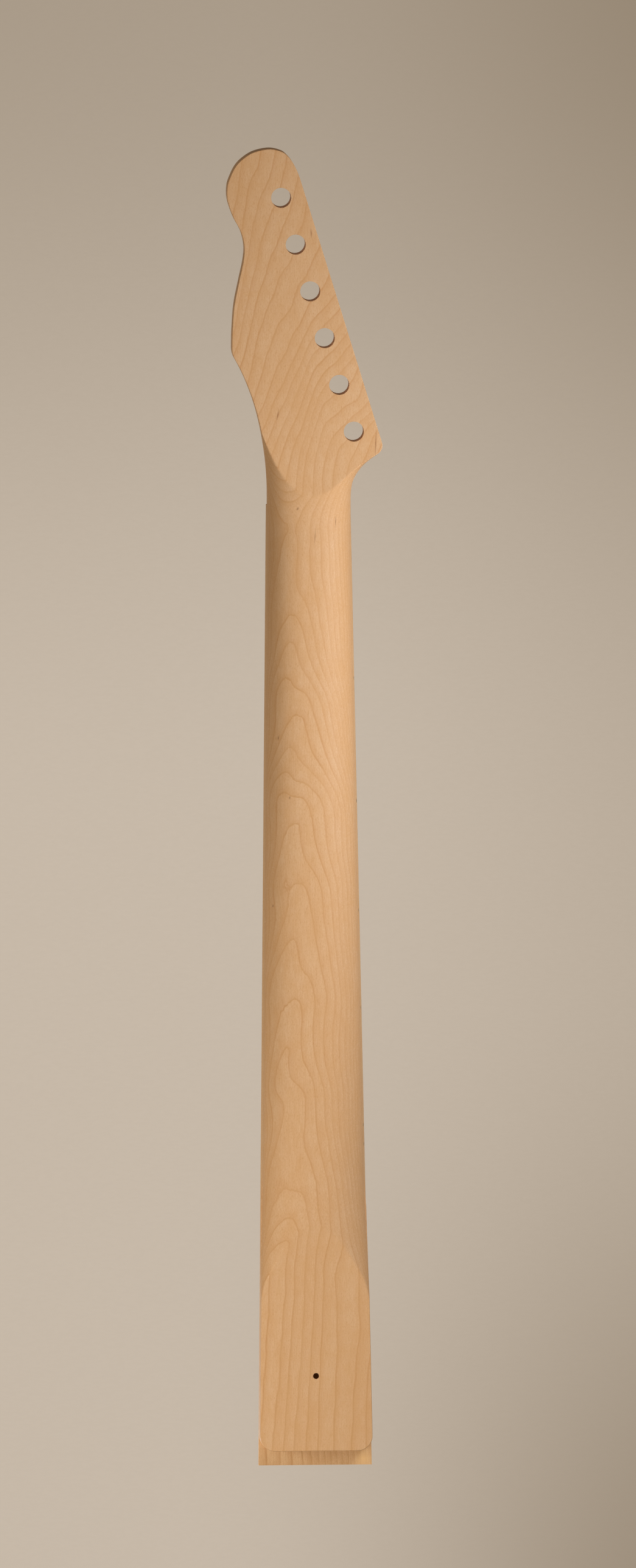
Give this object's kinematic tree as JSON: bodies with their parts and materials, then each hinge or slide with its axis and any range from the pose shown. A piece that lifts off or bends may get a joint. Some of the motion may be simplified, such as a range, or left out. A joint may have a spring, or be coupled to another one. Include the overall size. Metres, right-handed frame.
{
  "type": "electric guitar neck",
  "caption": "Bolt-on maple electric guitar neck with tuner holes in line, a fretted board with position dots, and a truss rod turned from the headstock.",
  "frame": {"origin": "on the flat back of the heel, on the neck's centre line, 25 mm above the heel's end", "axes": "+Z along the neck towards the headstock, -Y out of the back of the neck, +X towards the bass side, where the tuner holes are"},
  "size_m": [0.0765, 0.0266, 0.6567],
  "materials": {
    "neck_maple": "bare sanded maple",
    "board_maple": "bare sanded maple",
    "fret_wire": "polished nickel silver",
    "dot_plastic": "black, flush with the wood",
    "truss_steel": "dark oiled steel"
  },
  "bodies": {
    "neck": {"neck_blank": "neck_maple", "fingerboard": "board_maple", "fret_01": "fret_wire", "fret_02": "fret_wire", "fret_03": "fret_wire", "fret_04": "fret_wire", "fret_05": "fret_wire", "fret_06": "fret_wire", "fret_07": "fret_wire", "fret_08": "fret_wire", "fret_09": "fret_wire", "fret_10": "fret_wire", "fret_11": "fret_wire", "fret_12": "fret_wire", "fret_13": "fret_wire", "fret_14": "fret_wire", "fret_15": "fret_wire", "fret_16": "fret_wire", "fret_17": "fret_wire", "fret_18": "fret_wire", "fret_19": "fret_wire", "fret_20": "fret_wire", "fret_21": "fret_wire", "fret_22": "fret_wire", "face_dot_03": "dot_plastic", "face_dot_05": "dot_plastic", "face_dot_07": "dot_plastic", "face_dot_09": "dot_plastic", "face_dot_12_bass": "dot_plastic", "face_dot_12_treble": "dot_plastic", "face_dot_15": "dot_plastic", "face_dot_17": "dot_plastic", "face_dot_19": "dot_plastic", "face_dot_21": "dot_plastic", "side_dot_03": "dot_plastic", "side_dot_05": "dot_plastic", "side_dot_07": "dot_plastic", "side_dot_09": "dot_plastic", "side_dot_12_lower": "dot_plastic", "side_dot_12_upper": "dot_plastic", "side_dot_15": "dot_plastic", "side_dot_17": "dot_plastic", "side_dot_19": "dot_plastic", "side_dot_21": "dot_plastic", "truss_bar": "truss_steel", "truss_block_heel": "truss_steel", "truss_block_nut": "truss_steel"},
    "adjuster": {"truss_rod": "truss_steel", "truss_adjuster": "truss_steel"}
  },
  "joints": [
    {"name": "truss_adjuster_turn", "type": "hinge", "parent": "neck", "child": "adjuster", "pos_m": [0, 0.01255, 0.44044], "axis": [0, 0, 1], "range_deg": [-270, 270]}
  ]
}
